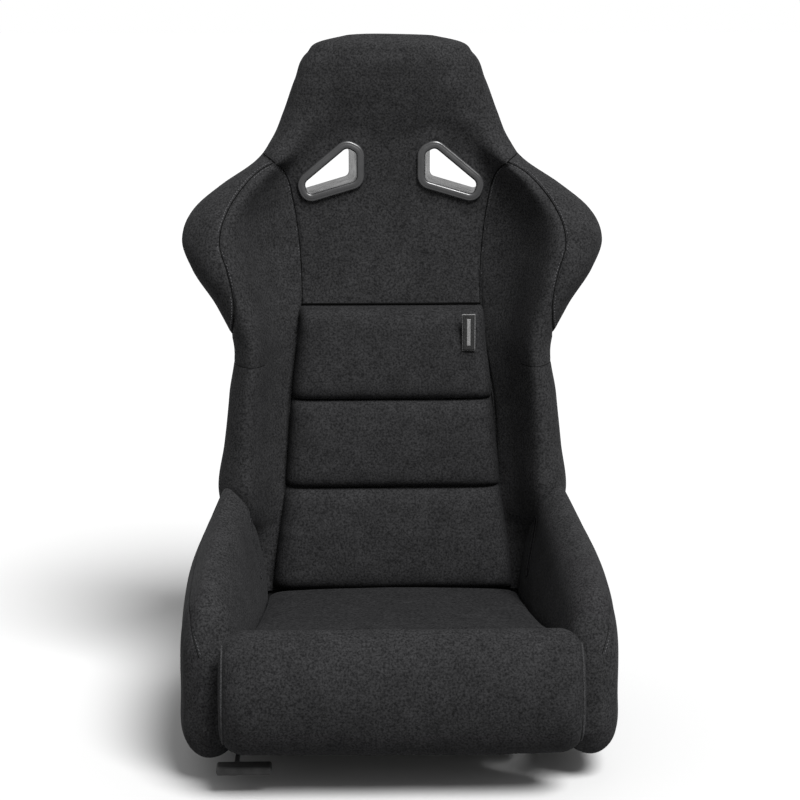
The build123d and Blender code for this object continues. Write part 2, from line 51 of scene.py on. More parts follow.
# z, y of the front panel, ridge x and y, outermost x and y, rear corner x and y, y of the rear panel
BACK_ROWS = np.array([
    (150, 122, 208, 112, 226, 126, 208, 190, 220),
    (236, 134, 206, 98, 228, 118, 210, 196, 226),
    (262, 141, 204, 76, 233, 114, 217, 204, 233),
    (300, 150, 203, 62, 239, 112, 222, 212, 240),
    (360, 161, 203, 68, 232, 120, 213, 225, 252),
    (430, 175, 200, 75, 224, 126, 203, 238, 265),
    (500, 190, 196, 82, 217, 130, 190, 250, 278),
    (550, 199, 208, 84, 239, 130, 193, 255, 286),
    (600, 206, 222, 87, 272, 134, 200, 260, 293),
    (640, 211, 229, 99, 286, 146, 203, 266, 298),
    (680, 215, 220, 121, 268, 164, 194, 272, 302),
    (710, 217, 196, 151, 231, 188, 174, 279, 305),
    (740, 218, 162, 181, 187, 219, 148, 285, 307),
    (770, 216, 140, 204, 164, 236, 130, 289, 309),
    (805, 210, 122, 213, 149, 243, 116, 292, 311),
    (850, 205, 105, 215, 132, 246, 98, 293, 312),
    (885, 209, 88, 221, 115, 251, 82, 289, 308),
    (902, 222, 68, 231, 92, 256, 66, 281, 296),
    (909, 240, 44, 245, 60, 259, 43, 273, 278)], float)
# y, inner x, outer x, bottom z, top z
HIP_ROWS = np.array([
    (-240, 206, 250, 64, 172),
    (-228, 197, 264, 44, 207),
    (-205, 191, 272, 33, 236),
    (-160, 186, 276, 30, 254),
    (-100, 182, 277, 30, 266),
    (-30, 179, 275, 30, 281),
    (30, 177, 270, 30, 296),
    (75, 176, 262, 30, 309),
    (125, 176, 252, 32, 312),
    (175, 177, 243, 36, 311),
    (207, 180, 233, 48, 307),
    (228, 188, 218, 80, 300)], float)
# harness slot corners in (x, z), and how far its walls splay outwards for each mm of y
SLOT_OUTLINE = [(36, 757), (62, 770), (132, 712), (120, 679), (36, 704)]
SLOT_SPLAY, SLOT_LEVEL_Y, SLOT_CORNER = 0.114, 205.0, 19.0
SLOT_MIDDLE = (84, 724)
# seams on the front of the back, in (x, z)
PANEL_SEAM = [(143, 300), (139, 418), (126, 500), (124, 545), (129, 645), (136, 690), (141, 712), (150, 730),
              (166, 744), (186, 751), (210, 756)]
WING_SEAM = [(160, 740), (178, 731), (204, 707), (222, 680), (231, 655), (232, 634), (224, 608), (217, 580),
             (214, 556), (216, 530), (222, 508), (232, 490)]


# ---------------------------------------------------------------- curves and grids
def hermite(rows, t):
    """Smooth values between table rows; the first column is the parameter."""
    x, v = rows[:, 0], rows[:, 1:]
    slope = np.zeros_like(v)
    d = np.diff(v, axis=0) / np.diff(x)[:, None]
    w = np.diff(x)[:, None]
    slope[1:-1] = (d[:-1] * w[1:] + d[1:] * w[:-1]) / (w[1:] + w[:-1])
    slope[0], slope[-1] = d[0], d[-1]
    t = np.atleast_1d(np.asarray(t, float))
    i = np.clip(np.searchsorted(x, t) - 1, 0, len(x) - 2)
    h = (x[i + 1] - x[i])
    u = ((t - x[i]) / h)[:, None]
    h = h[:, None]
    return ((2 * u**3 - 3 * u**2 + 1) * v[i] + (u**3 - 2 * u**2 + u) * h * slope[i]
            + (-2 * u**3 + 3 * u**2) * v[i + 1] + (u**3 - u**2) * h * slope[i + 1])


def closed_spline(points, counts):
    """A periodic cubic spline through 2-D points, with so many samples on each span."""
    p = np.asarray(points, float)
    n = len(p)
    q = np.roll(p, -1, axis=0)
    h = np.linalg.norm(q - p, axis=1)
    a, b = np.zeros((n, n)), np.zeros((n, 2))
    for i in range(n):
        j, k = (i - 1) % n, (i + 1) % n
        a[i, j] += h[j]
        a[i, i] += 2 * (h[j] + h[i])
        a[i, k] += h[i]
        b[i] = 6 * ((p[k] - p[i]) / h[i] - (p[i] - p[j]) / h[j])
    m = np.linalg.solve(a, b)
    out = []
    for i in range(n):
        k = (i + 1) % n
        s = (np.arange(counts[i]) / counts[i])[:, None] * h[i]
        r = h[i] - s
        out.append(m[i] * r**3 / (6 * h[i]) + m[k] * s**3 / (6 * h[i])
                   + (p[i] / h[i] - m[i] * h[i] / 6) * r + (p[k] / h[i] - m[k] * h[i] / 6) * s)
    return np.concatenate(out)


def smooth_line(points, spacing=2.0):
    """A smooth open line through points of any dimension, evenly spaced."""
    p = np.asarray(points, float)
    s = np.concatenate([[0], np.cumsum(np.linalg.norm(np.diff(p, axis=0), axis=1))])
    dense = hermite(np.column_stack([s, p]), np.linspace(0, s[-1], 40 * len(p)))
    s = np.concatenate([[0], np.cumsum(np.linalg.norm(np.diff(dense, axis=0), axis=1))])
    t = np.linspace(0, s[-1], max(2, int(s[-1] / spacing)))
    return np.column_stack([np.interp(t, s, dense[:, k]) for k in range(p.shape[1])])


def line_distance(points, line):
    """Distance from each point to a polyline."""
    best = np.full(len(points), 1e9)
    for a, b in zip(line[:-1], line[1:]):
        ab = b - a
        t = np.clip(((points - a) @ ab) / max(ab @ ab, 1e-9), 0, 1)
        best = np.minimum(best, np.linalg.norm(points - (a + t[:, None] * ab), axis=1))
    return best


def inside(points, outline):
    """Which 2-D points lie inside a closed outline."""
    x, y = points[:, 0], points[:, 1]
    hit = np.zeros(len(points), bool)
    for (x0, y0), (x1, y1) in zip(outline, np.roll(outline, -1, axis=0)):
        cross = (y0 > y) != (y1 > y)
        with np.errstate(divide="ignore", invalid="ignore"):
            hit ^= cross & (x < (x1 - x0) * (y - y0) / (y1 - y0) + x0)
    return hit


def rounded(points, radius, count=10):
    """A polygon with its corners rounded, as evenly dense points."""
    p = np.asarray(points, float)
    out = []
    for i in range(len(p)):
        a, b, c = p[i - 1], p[i], p[(i + 1) % len(p)]
        u, v = (a - b) / np.linalg.norm(a - b), (c - b) / np.linalg.norm(c - b)
        half = math.acos(np.clip(u @ v, -1, 1)) / 2
        t = min(radius / math.tan(half), 0.48 * np.linalg.norm(a - b), 0.48 * np.linalg.norm(c - b))
        r = t * math.tan(half)
        mid = b + (u + v) / np.linalg.norm(u + v) * (r / math.sin(half))
        s, e = b + u * t - mid, b + v * t - mid
        w = math.acos(np.clip((s @ e) / (r * r), -1, 1))
        for k in range(count):
            f = k / (count - 1)
            out.append(mid + (math.sin((1 - f) * w) * s + math.sin(f * w) * e) / math.sin(w))
    out = np.array(out)
    loop = np.vstack([out, out[:1]])
    s = np.concatenate([[0], np.cumsum(np.linalg.norm(np.diff(loop, axis=0), axis=1))])
    t = np.linspace(0, s[-1], 121)[:-1]
    return np.column_stack([np.interp(t, s, loop[:, k]) for k in range(2)])


def shrink(outline, depth):
    """A convex anticlockwise outline moved inwards."""
    t = np.roll(outline, -1, axis=0) - np.roll(outline, 1, axis=0)
    t /= np.linalg.norm(t, axis=1)[:, None]
    area = np.sum(outline[:, 0] * np.roll(outline[:, 1], -1) - np.roll(outline[:, 0], -1) * outline[:, 1])
    side = 1.0 if area > 0 else -1.0
    return outline + side * depth * np.column_stack([-t[:, 1], t[:, 0]])


def grid_normals(grid, wrap):
    """Outward unit normals of a grid whose columns go round anticlockwise seen from its last row."""
    du = np.roll(grid, -1, axis=1) - np.roll(grid, 1, axis=1) if wrap else np.gradient(grid, axis=1)
    dv = np.gradient(grid, axis=0)
    n = np.cross(du, dv)
    return n / np.maximum(np.linalg.norm(n, axis=2, keepdims=True), 1e-9)


def value_noise(points, scale, seed=0):
    """Smooth noise between -1 and 1 at each point."""
    shift = Vector((seed * 17.3, seed * 5.1, seed * 11.7))
    return np.array([smooth_noise.noise(Vector(p) * scale + shift) for p in points])


def make_mesh(name, verts, faces, material, shading=None):
    """An object from points in millimetres, shaded smooth or with the normals that are given."""
    mesh = bpy.data.meshes.new(name)
    mesh.from_pydata((np.asarray(verts) * MM).tolist(), [], [list(map(int, f)) for f in faces])
    mesh.polygons.foreach_set("use_smooth", [True] * len(mesh.polygons))
    mesh.materials.append(material)
    mesh.update()
    if shading is not None:
        mesh.normals_split_custom_set_from_vertices(shading.tolist())
    obj = bpy.data.objects.new(name, mesh)
    bpy.context.scene.collection.objects.link(obj)
    return obj


def grid_faces(rows, cols, wrap, keep=None, flip=False):
    """The four-sided faces of a grid, closed round its columns if it wraps."""
    faces = []
    for r in range(rows - 1):
        for c in range(cols if wrap else cols - 1):
            if keep is not None and not keep[r, c]:
                continue
            d = (c + 1) % cols
            f = (r * cols + c, r * cols + d, (r + 1) * cols + d, (r + 1) * cols + c)
            faces.append(f[::-1] if flip else f)
    return faces


def from_faces(name, verts, faces, material, shading=None):
    """A mesh from some of a grid's faces, with only the points they use."""
    used = np.unique(np.concatenate([np.asarray(f) for f in faces]))
    index = {int(v): i for i, v in enumerate(used)}
    return make_mesh(name, verts[used], [[index[int(v)] for v in f] for f in faces], material,
                     None if shading is None else shading[used])


def closed_sheet(name, face, under, material):
    """A closed mesh between two grids of the same size, joined round their rims."""
    rows, cols = face.shape[:2]
    count = rows * cols
    verts = np.vstack([face.reshape(-1, 3), under.reshape(-1, 3)])
    faces = grid_faces(rows, cols, False)
    faces += [tuple(v + count for v in f[::-1]) for f in grid_faces(rows, cols, False)]
    rim = list(range(cols)) + [r * cols + cols - 1 for r in range(1, rows)]
    rim += [(rows - 1) * cols + c for c in range(cols - 2, -1, -1)]
    rim += [r * cols for r in range(rows - 2, 0, -1)]
    faces += [(b, a, a + count, b + count) for a, b in zip(rim, rim[1:] + rim[:1])]
    return make_mesh(name, verts, faces, material)


def on_seat(piece, slot, *nodes, fill=None):
    """Puts a piece on the seat body, in place of the CAD nodes that it stands for."""
    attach(piece, SEAT)
    if nodes:
        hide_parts(*nodes)


# ---------------------------------------------------------------- materials
def new_material(name):
    """A material with its nodes, its links and its main shader."""
    m = bpy.data.materials.new(name)
    m.use_nodes = True
    nodes = m.node_tree.nodes
    return m, nodes, m.node_tree.links, nodes["Principled BSDF"]


def fabric(name, dark, light, grain=380.0, sheen=0.008, bump=0.5):
    """A flat-woven upholstery cloth of mixed dark yarns."""
    m, n, l, b = new_material(name)
    coord = n.new("ShaderNodeTexCoord")
    fine = n.new("ShaderNodeTexNoise")
    fine.inputs["Scale"].default_value = grain
    fine.inputs["Detail"].default_value = 3.0
    fine.inputs["Roughness"].default_value = 0.65
    broad = n.new("ShaderNodeTexNoise")
    broad.inputs["Scale"].default_value = 38.0
    broad.inputs["Detail"].default_value = 4.0
    warp, weft = n.new("ShaderNodeTexWave"), n.new("ShaderNodeTexWave")
    for yarns, direction in ((warp, "X"), (weft, "Z")):
        yarns.wave_type, yarns.bands_direction = "BANDS", direction
        yarns.inputs["Scale"].default_value = 150.0
        yarns.inputs["Distortion"].default_value = 1.4
        yarns.inputs["Detail"].default_value = 1.0
    for t in (fine, broad, warp, weft):
        l.new(coord.outputs["Object"], t.inputs["Vector"])
    cloth = n.new("ShaderNodeMath")
    cloth.operation = "MULTIPLY"
    l.new(warp.outputs["Fac"], cloth.inputs[0])
    l.new(weft.outputs["Fac"], cloth.inputs[1])
    mix = n.new("ShaderNodeMath")
    mix.operation = "MULTIPLY_ADD"
    l.new(cloth.outputs[0], mix.inputs[0])
    mix.inputs[1].default_value = 0.04
    l.new(fine.outputs["Fac"], mix.inputs[2])
    ramp = n.new("ShaderNodeValToRGB")
    ramp.color_ramp.elements[0].position = 0.36
    ramp.color_ramp.elements[0].color = (*dark, 1)
    ramp.color_ramp.elements[1].position = 0.66
    ramp.color_ramp.elements[1].color = (*light, 1)
    l.new(mix.outputs[0], ramp.inputs["Fac"])
    tone = n.new("ShaderNodeMapRange")
    tone.inputs["From Min"].default_value = 0.3
    tone.inputs["From Max"].default_value = 0.7
    tone.inputs["To Min"].default_value = 0.86
    tone.inputs["To Max"].default_value = 1.14
    l.new(broad.outputs["Fac"], tone.inputs["Value"])
    shade = n.new("ShaderNodeMix")
    shade.data_type, shade.blend_type = "RGBA", "MULTIPLY"
    shade.inputs["Factor"].default_value = 1.0
    l.new(ramp.outputs["Color"], shade.inputs["A"])
    l.new(tone.outputs["Result"], shade.inputs["B"])
    l.new(shade.outputs["Result"], b.inputs["Base Color"])
    height = n.new("ShaderNodeBump")
    height.inputs["Strength"].default_value = bump
    height.inputs["Distance"].default_value = 0.0006
    l.new(mix.outputs[0], height.inputs["Height"])
    l.new(height.outputs["Normal"], b.inputs["Normal"])
    b.inputs["Roughness"].default_value = 0.92
    b.inputs["Specular IOR Level"].default_value = 0.04
    b.inputs["Sheen Weight"].default_value = sheen
    b.inputs["Sheen Roughness"].default_value = 0.45
    b.inputs["Sheen Tint"].default_value = (0.75, 0.76, 0.8, 1)
    return m


def surface(name, color, rough, metal=0.0, grain=90.0, spread=0.12, bump=0.15, spec=0.5):
    """Moulded plastic or metal, with uneven tone, roughness and a fine texture."""
    m, n, l, b = new_material(name)
    b.inputs["Specular IOR Level"].default_value = spec
    coord = n.new("ShaderNodeTexCoord")
    noise = n.new("ShaderNodeTexNoise")
    noise.inputs["Scale"].default_value = grain
    noise.inputs["Detail"].default_value = 5.0
    l.new(coord.outputs["Object"], noise.inputs["Vector"])
    ramp = n.new("ShaderNodeValToRGB")
    ramp.color_ramp.elements[0].position, ramp.color_ramp.elements[1].position = 0.3, 0.7
    ramp.color_ramp.elements[0].color = (*[c * (1 - spread) for c in color], 1)
    ramp.color_ramp.elements[1].color = (*[min(1, c * (1 + spread)) for c in color], 1)
    l.new(noise.outputs["Fac"], ramp.inputs["Fac"])
    l.new(ramp.outputs["Color"], b.inputs["Base Color"])
    r = n.new("ShaderNodeMapRange")
    r.inputs["From Min"].default_value, r.inputs["From Max"].default_value = 0.3, 0.7
    r.inputs["To Min"].default_value, r.inputs["To Max"].default_value = rough * 0.85, min(1, rough * 1.15)
    l.new(noise.outputs["Fac"], r.inputs["Value"])
    l.new(r.outputs["Result"], b.inputs["Roughness"])
    fine = n.new("ShaderNodeTexNoise")
    fine.inputs["Scale"].default_value = grain * 9
    fine.inputs["Detail"].default_value = 2.0
    l.new(coord.outputs["Object"], fine.inputs["Vector"])
    height = n.new("ShaderNodeBump")
    height.inputs["Strength"].default_value = bump
    height.inputs["Distance"].default_value = 0.0004
    l.new(fine.outputs["Fac"], height.inputs["Height"])
    l.new(height.outputs["Normal"], b.inputs["Normal"])
    b.inputs["Metallic"].default_value = metal
    return m


CLOTH = fabric("cover_cloth", (0.0038, 0.0038, 0.0040), (0.0160, 0.0160, 0.0165))
CUSHION = fabric("cushion_cloth", (0.0034, 0.0034, 0.0036), (0.0140, 0.0140, 0.0145))
# paler than the cushion cloth: painted highlight along the roll's piped ends
PIPING_HIGHLIGHT = fabric("piping", (0.006, 0.006, 0.006), (0.026, 0.026, 0.027), grain=600.0)
# a darker copy of the cover cloth: painted shade over the seat pad, between the bolsters and under the back
SEAT_CLOTH_SHADED = fabric("seat_cloth_painted_shade", (0.0022, 0.0022, 0.0024), (0.0108, 0.0108, 0.0112), grain=260.0)
# near-black material of the cords that paint the shadow in the seams' grooves
SEAM_SHADOW = surface("seam_shadow", (0.0012, 0.0012, 0.0012), 0.95, grain=300.0, spec=0.02)
THREAD = surface("sewing_thread", (0.022, 0.022, 0.024), 0.7, grain=300.0)
SCRIM = fabric("underside_scrim", (0.010, 0.010, 0.010), (0.030, 0.030, 0.030), grain=260.0, sheen=0.1)
PLASTIC = surface("moulded_plastic", (0.012, 0.012, 0.0125), 0.36, grain=60.0, bump=0.25)
RUBBER = surface("grip_rubber", (0.0030, 0.0030, 0.0030), 0.85, grain=80.0, bump=0.2)
COATED = surface("powder_coat", (0.016, 0.016, 0.017), 0.45, grain=120.0, bump=0.35)
STEEL = surface("zinc_steel", (0.55, 0.55, 0.57), 0.34, metal=1.0, grain=140.0, bump=0.12)
RAIL = surface("rail_steel", (0.30, 0.30, 0.31), 0.42, metal=1.0, grain=110.0, bump=0.18)
SPRING = surface("spring_steel", (0.24, 0.235, 0.23), 0.38, metal=1.0, grain=160.0, bump=0.10)
NYLON = surface("nylon", (0.72, 0.70, 0.62), 0.45, grain=80.0)
WEB = fabric("webbing", (0.004, 0.004, 0.004), (0.016, 0.016, 0.017), grain=700.0)
EDGING = fabric("tag_edging", (0.05, 0.05, 0.05), (0.15, 0.15, 0.15), grain=900.0)
TAPE = fabric("hook_tape", (0.006, 0.006, 0.006), (0.02, 0.02, 0.02), grain=900.0, sheen=0.1, bump=0.6)


# ---------------------------------------------------------------- surfaces of the back
def back_front_y(z):
    """The front of the back's middle panel at a height."""
    rows = np.vstack([[60, 108], [160, 122], BACK_ROWS[:, :2]])
    return np.interp(z, rows[:, 0], rows[:, 1])


def seat_z(y):
    """The top of the seat cushion's plane, which falls towards the rear."""
    return SEAT_REAR_Z + (SEAT_REAR_Y - y) * SEAT_SLOPE


TOP = 319                       # the last full row round the head
# samples on each span of the half ring, from the middle of the front to the middle of the rear
BACK_COUNTS = [24, 24, 24, 28, 14, 18, 18, 20, 28, 26]


def back_grid():
    """Rings round the back from the waist to the crown, closed over the head."""
    z = np.concatenate([np.linspace(152, 880, 300), np.linspace(882.5, 909, 20)])
    rows = hermite(BACK_ROWS, z)
    grid = []
    for level, (front, rx, ry, ox, oy, cx, cy, rear) in zip(z, rows):
        seam = min(0.62 * rx, 140.0)
        deep = min(max((front - ry) / 45, 0.0), 1.0)
        half = [
            (0.55 * seam, front),
            (seam, front - 0.03 * (front - ry)),
            (0.5 * (seam + rx) + 4 * deep, 0.5 * (front + ry) + 8 * deep - 2),
            (rx, ry),
            (rx + 0.62 * (ox - rx), ry + 0.28 * (oy - ry)),
            (ox, oy),
            (ox + 0.12 * (cx - ox), oy + 0.42 * (cy - oy)),
            (cx, cy),
            (0.55 * cx, 0.35 * cy + 0.65 * rear)]
        loop = [(0.0, front)] + half + [(0.0, rear)] + [(-x, y) for x, y in reversed(half)]
        curve = closed_spline(loop, BACK_COUNTS + BACK_COUNTS[::-1])
        grid.append(np.column_stack([curve, np.full(len(curve), level)]))
    middle = grid[-1].mean(axis=0)
    for scale, lift in ((0.93, 0.5), (0.8, 1.0), (0.6, 1.5), (0.35, 1.8), (0.12, 1.9), (0.005, 1.9)):
        grid.append(middle + (grid[-1 if scale > 0.9 else TOP] - middle) * scale + [0, 0, lift])
    return np.array(grid)


def sink(grid, normals, distance, depth, width, weight=1.0):
    """Presses a groove into a grid where distance is small."""
    push = depth * np.exp(-(distance / width) ** 2) * weight
    return grid - normals * push.reshape(grid.shape[:2])[..., None]


back = back_grid()
BACK_RINGS, BACK_COLUMNS = back.shape[:2]
SIDE = sum(BACK_COUNTS[:6])
normals = grid_normals(back, True)
flat = back.reshape(-1, 3)
facing = np.clip((-normals[..., 1].ravel() + 0.15) / 0.3, 0, 1)
folded = np.column_stack([np.abs(flat[:, 0]), flat[:, 2]])
panel_line, wing_line = smooth_line(PANEL_SEAM), smooth_line(WING_SEAM)
d_panel, d_wing = line_distance(folded, panel_line), line_distance(folded, wing_line)

# the seams between the panels, the seam down each side and the fold at the waist
column = np.arange(BACK_COLUMNS)
side_gap = np.minimum(np.abs(column - SIDE - 3), np.abs(column - (BACK_COLUMNS - SIDE) + 3))
edge_mm = np.tile(side_gap[None, :] * 2.6, (BACK_RINGS, 1)).ravel()
below_head = np.clip((720 - flat[:, 2]) / 40, 0, 1)
waist_drop = flat[:, 2] - WAIST_Z - WAIST_SLOPE * (np.abs(flat[:, 0]) - WAIST_X)
waist_fold = np.where(np.abs(flat[:, 0]) > 172, waist_drop, 99.0)
for distance, depth, width, weight in (
        (d_panel, 3.2, 2.3, facing), (d_panel, 1.6, 11.0, facing),
        (d_wing, 2.4, 2.1, facing), (d_wing, 1.0, 9.0, facing),
        (edge_mm, 2.0, 2.4, below_head), (waist_fold, 0.7, 2.4, facing)):
    back = sink(back, normals, distance, depth, width, weight)
wave = value_noise(flat, 0.011, 1)
back = back + normals * (wave.reshape(BACK_RINGS, BACK_COLUMNS) * 1.3)[..., None]


def slot_outline(side, y):
    """The harness slot's rounded outline in (x, z), at a depth."""
    line = rounded(SLOT_OUTLINE, SLOT_CORNER)
    line = line + np.array([SLOT_SPLAY * (y - SLOT_LEVEL_Y), 0.0])
    return line * np.array([side, 1.0])


# the cloth is drawn on to the bezels' flanges, from this far round the slots
FLANGE_REACH, FLANGE_DEPTH = 34.0, 2.5
for plane, is_front in ((BEZEL_FRONT, True), (BEZEL_REAR, False)):
    for side in (1, -1):
        outline = slot_outline(side, plane)
        near = np.abs(flat[:, 0] - side * SLOT_MIDDLE[0]) < 110
        near &= np.abs(flat[:, 2] - SLOT_MIDDLE[1]) < 110
        near &= (normals[..., 1].ravel() < -0.2) if is_front else (normals[..., 1].ravel() > 0.2)
        idx = np.where(near)[0]
        pts = flat[idx][:, [0, 2]]
        d = line_distance(pts, np.vstack([outline, outline[:1]]))
        d[inside(pts, outline)] = 0
        near_edge = np.clip(1 - d / FLANGE_REACH, 0, 1)
        pull = near_edge**2 * (3 - 2 * near_edge)
        target = plane + (FLANGE_DEPTH if is_front else -FLANGE_DEPTH)
        work = back.reshape(-1, 3)
        work[idx, 1] += (target - work[idx, 1]) * pull
        back = work.reshape(BACK_RINGS, BACK_COLUMNS, 3)
flat = back.reshape(-1, 3)

# which piece each face belongs to; the faces inside the slots are left out
centre = 0.25 * (back[:-1] + np.roll(back[:-1], -1, axis=1) + back[1:] + np.roll(back[1:], -1, axis=1))
centres = centre.reshape(-1, 3)
col = np.tile(column, (BACK_RINGS - 1, 1))
front_half = (col < SIDE + 3) | (col >= BACK_COLUMNS - SIDE - 3)
keep = np.ones(len(centres), bool)
for side in (1, -1):
    for plane, mask in ((BEZEL_FRONT, front_half.ravel()), (BEZEL_REAR, ~front_half.ravel())):
        keep &= ~(mask & inside(centres[:, [0, 2]], shrink(slot_outline(side, plane), 4.0)))
keep = keep.reshape(BACK_RINGS - 1, BACK_COLUMNS)
panel_poly = np.vstack([panel_line, [(330, 800), (330, 960), (0, 960), (0, 290), (143, 290)]])
wing_poly = np.vstack([wing_line, [(330, 470), (330, 760)]])
fold = np.column_stack([np.abs(centres[:, 0]), centres[:, 2]])
is_panel = inside(fold, panel_poly).reshape(BACK_RINGS - 1, BACK_COLUMNS) & front_half
is_wing = inside(fold, wing_poly).reshape(BACK_RINGS - 1, BACK_COLUMNS) & front_half & ~is_panel
is_left = (centre[..., 0] > 0)
regions = {
    "head_and_back_cover": (is_panel, ["back_panel_cover", "back_foam"]),
    "bolster_cover_left_sewn": (front_half & ~is_panel & ~is_wing & is_left,
                                ["bolster_cover_left", "bolster_foam_left"]),
    "bolster_cover_right_sewn": (front_half & ~is_panel & ~is_wing & ~is_left,
                                 ["bolster_cover_right", "bolster_foam_right"]),
    "shoulder_gusset_left_sewn": (is_wing & is_left, ["shoulder_gusset_left"]),
    "shoulder_gusset_right_sewn": (is_wing & ~is_left, ["shoulder_gusset_right"]),
    "rear_cover_sewn": (~front_half, ["rear_cover"]),
}
all_faces = np.array(grid_faces(BACK_RINGS, BACK_COLUMNS, True)).reshape(BACK_RINGS - 1, BACK_COLUMNS, 4)
shading = grid_normals(back, True)
shading[TOP + 5:] = (0, 0, 1)
shading = shading.reshape(-1, 3)
for name, (mask, nodes) in regions.items():
    chosen = all_faces[mask & keep]
    piece = from_faces(name, flat, chosen, CLOTH, shading)
    on_seat(piece, "cover_fabric", *nodes, fill=0.95)

back_tree = BVHTree.FromPolygons([Vector(v) for v in flat],
                                 [tuple(map(int, f)) for f in all_faces.reshape(-1, 4)])


def on_front(line):
    """Points and normals on the front of the back, under an (x, z) line."""
    found = []
    for x, z in line:
        hit, normal, _, _ = back_tree.ray_cast(Vector((x, -600, z)), Vector((0, 1, 0)))
        if hit is not None:
            normal = normal if normal.y < 0 else -normal
            found.append((np.array(hit), np.array(normal)))
    return found


# rings of one stitch: place along it, height over the cloth, and share of the thread's radius
STITCH_RINGS = ((-0.5, -0.35, 0.55), (-0.3, 0.25, 1.0), (0.3, 0.25, 1.0), (0.5, -0.35, 0.55))


def stitch_row(name, spots, offset=3.0, pitch=4.4, length=3.0, radius=0.42, sides=(-1, 1)):
    """Rows of thread stitches beside a seam."""
    pts = np.array([p for p, _ in spots])
    nrm = np.array([n for _, n in spots])
    tan = np.gradient(pts, axis=0)
    tan /= np.linalg.norm(tan, axis=1)[:, None]
    across = np.cross(nrm, tan)
    s = np.concatenate([[0], np.cumsum(np.linalg.norm(np.diff(pts, axis=0), axis=1))])
    verts, faces = [], []
    for side in sides:
        for t in np.arange(pitch, s[-1] - pitch, pitch):
            p = np.array([np.interp(t, s, (pts + across * offset * side)[:, k]) for k in range(3)])
            d = np.array([np.interp(t, s, tan[:, k]) for k in range(3)])
            n = np.array([np.interp(t, s, nrm[:, k]) for k in range(3)])
            b = np.cross(n, d)
            base = len(verts)
            for along, lift, r in STITCH_RINGS:
                for k in range(6):
                    a = k * math.pi / 3
                    verts.append(p + d * along * length + n * lift
                                 + (b * math.cos(a) + n * math.sin(a)) * radius * r)
            for ring in range(3):
                for k in range(6):
                    j = (k + 1) % 6
                    faces.append((base + ring * 6 + k, base + ring * 6 + j,
                                  base + ring * 6 + 6 + j, base + ring * 6 + 6 + k))
            faces.append(tuple(base + k for k in range(5, -1, -1)))
            faces.append(tuple(base + 18 + k for k in range(6)))
    obj = make_mesh(name, verts, faces, THREAD)
    on_seat(obj, "cover_fabric")


def seam_shadow_cord(name, spots, radius=0.8, sunk=0.2, sides=6):
    """Painted seam shadow: the dark line where two panels are sewn together, as a thin near-black cord lying
    in the groove.
    """
    pts = np.array([p - n * sunk for p, n in spots])
    nrm = np.array([n for _, n in spots])
    tan = np.gradient(pts, axis=0)
    tan /= np.linalg.norm(tan, axis=1)[:, None]
    across = np.cross(nrm, tan)
    angle = np.arange(sides) * 2 * math.pi / sides
    verts = np.array([[p + radius * (math.cos(a) * b + math.sin(a) * n) for a in angle]
                      for p, n, b in zip(pts, nrm, across)])
    obj = make_mesh(name, verts.reshape(-1, 3), grid_faces(len(pts), sides, True), SEAM_SHADOW)
    on_seat(obj, "cover_fabric")


fold_x = np.linspace(174, 214, 24)
fold_line = np.column_stack([fold_x, WAIST_Z + WAIST_SLOPE * (fold_x - WAIST_X)])
for side, word in ((1, "left"), (-1, "right")):
    mirror = np.array([side, 1])
    # near-black cords paint the shadow in each seam's groove; the stitch rows are real thread
    seam_shadow_cord(f"wing_seam_shadow_{word}", on_front(wing_line * mirror))
    seam_shadow_cord(f"panel_seam_shadow_{word}", on_front(panel_line[4:-12] * mirror))
    seam_shadow_cord(f"waist_seam_shadow_{word}", on_front(fold_line * mirror), radius=0.5)
    stitch_row(f"wing_stitches_{word}", on_front(wing_line[2:-16] * mirror))
    seam = panel_line[(panel_line[:, 1] > 556) & (panel_line[:, 1] < 740)] * mirror
    stitch_row(f"panel_stitches_{word}", on_front(seam), offset=2.6, sides=(-side,))


# ---------------------------------------------------------------- hip bolsters
SHOULDER_Z, SHOULDER_LEAN = 222, 12.0
# samples on each span of the ring
HIP_COUNTS = [20, 18, 22, 24, 22, 18, 18, 20, 26, 24, 20]


def end_rings(ring, direction):
    """Smaller and smaller rings that round off an end of a hip bolster."""
    middle = ring.mean(axis=0)
    rings = []
    for scale, out in ((0.95, 1.4), (0.82, 2.6), (0.6, 3.3), (0.3, 3.6), (0.1, 3.7), (0.002, 3.7)):
        smaller = middle + (ring - middle) * scale
        smaller[:, 1] = ring[0, 1] + direction * out
        rings.append(smaller)
    return rings


def hip_grid():
    """Rings round the left hip bolster, from its front end to its rear end."""
    y = np.concatenate([np.linspace(-240, -200, 22), np.linspace(-197, 200, 130), np.linspace(203, 228, 12)])
    rows = hermite(HIP_ROWS, y)
    grid = []
    for level, (inner, outer, low, top) in zip(y, rows):
        w, t = outer - inner, top - low
        loop = [
            (inner + 0.41 * w, low + 0.01 * t), (inner + 0.68 * w, low), (outer - 0.08 * w, low + 0.08 * t),
            (outer, low + 0.34 * t), (outer - 0.01 * w, low + 0.62 * t), (outer - 0.10 * w, low + 0.87 * t),
            (inner + 0.66 * w, top), (inner + 0.43 * w, top - 0.03 * t), (inner + 0.19 * w, low + 0.80 * t),
            (inner + 0.03 * w, low + 0.55 * t), (inner + 0.01 * w, low + 0.26 * t)]
        curve = closed_spline(loop, HIP_COUNTS)
        # the outer shoulder leans in
        rise = np.clip((curve[:, 1] - SHOULDER_Z) / 80, 0, 1)
        share = np.clip((curve[:, 0] - inner) / w, 0, 1)
        curve[:, 0] -= SHOULDER_LEAN * rise * rise * (3 - 2 * rise) * share
        grid.append(np.column_stack([curve[:, 0], np.full(len(curve), level), curve[:, 1]]))
    return np.array(end_rings(grid[0], -1)[::-1] + grid + end_rings(grid[-1], 1))


